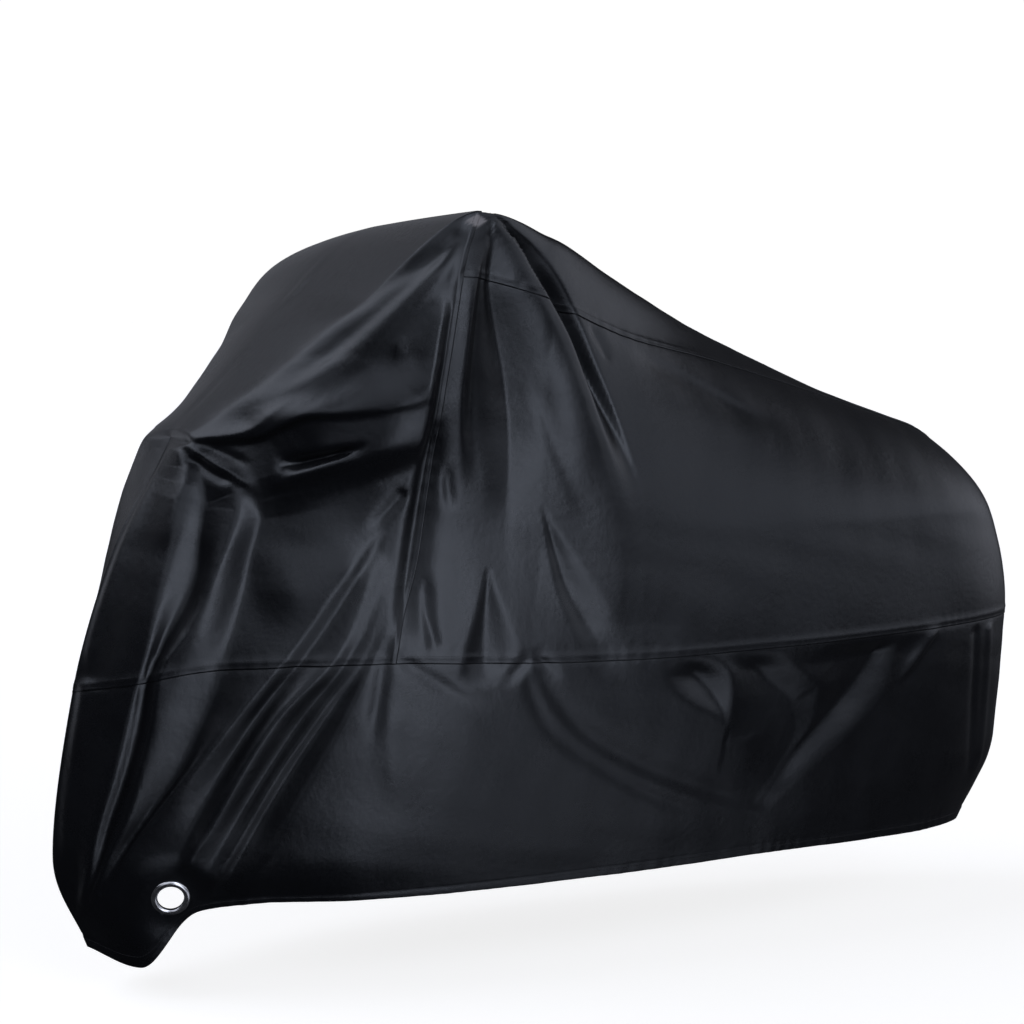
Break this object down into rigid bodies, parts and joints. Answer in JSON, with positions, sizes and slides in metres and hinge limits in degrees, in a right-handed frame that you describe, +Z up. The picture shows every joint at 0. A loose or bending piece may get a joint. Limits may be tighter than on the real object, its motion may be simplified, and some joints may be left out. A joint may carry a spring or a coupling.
{
  "type": "motorcycle cover",
  "caption": "Fitted fabric cover draped as over a motorcycle: hood over the handlebars, top strip, upper sides and skirts down to a low hem, with a metal eyelet for a lock in each front skirt.",
  "frame": {"origin": "under the ridge between the two handlebar grips, on the centre plane, where the handlebars carry the cover", "axes": "+X from nose to tail, +Y from the left side to the right side, +Z up"},
  "size_m": [2.1798, 0.7946, 1.3996],
  "materials": {
    "cloth": "coated, soft sheen",
    "steel": "polished"
  },
  "bodies": {
    "root": {"hood": "cloth", "top_panel": "cloth", "side_left": "cloth", "side_right": "cloth", "skirt_left": "cloth", "skirt_right": "cloth", "eyelet_left": "steel", "eyelet_right": "steel"}
  },
  "joints": []
}
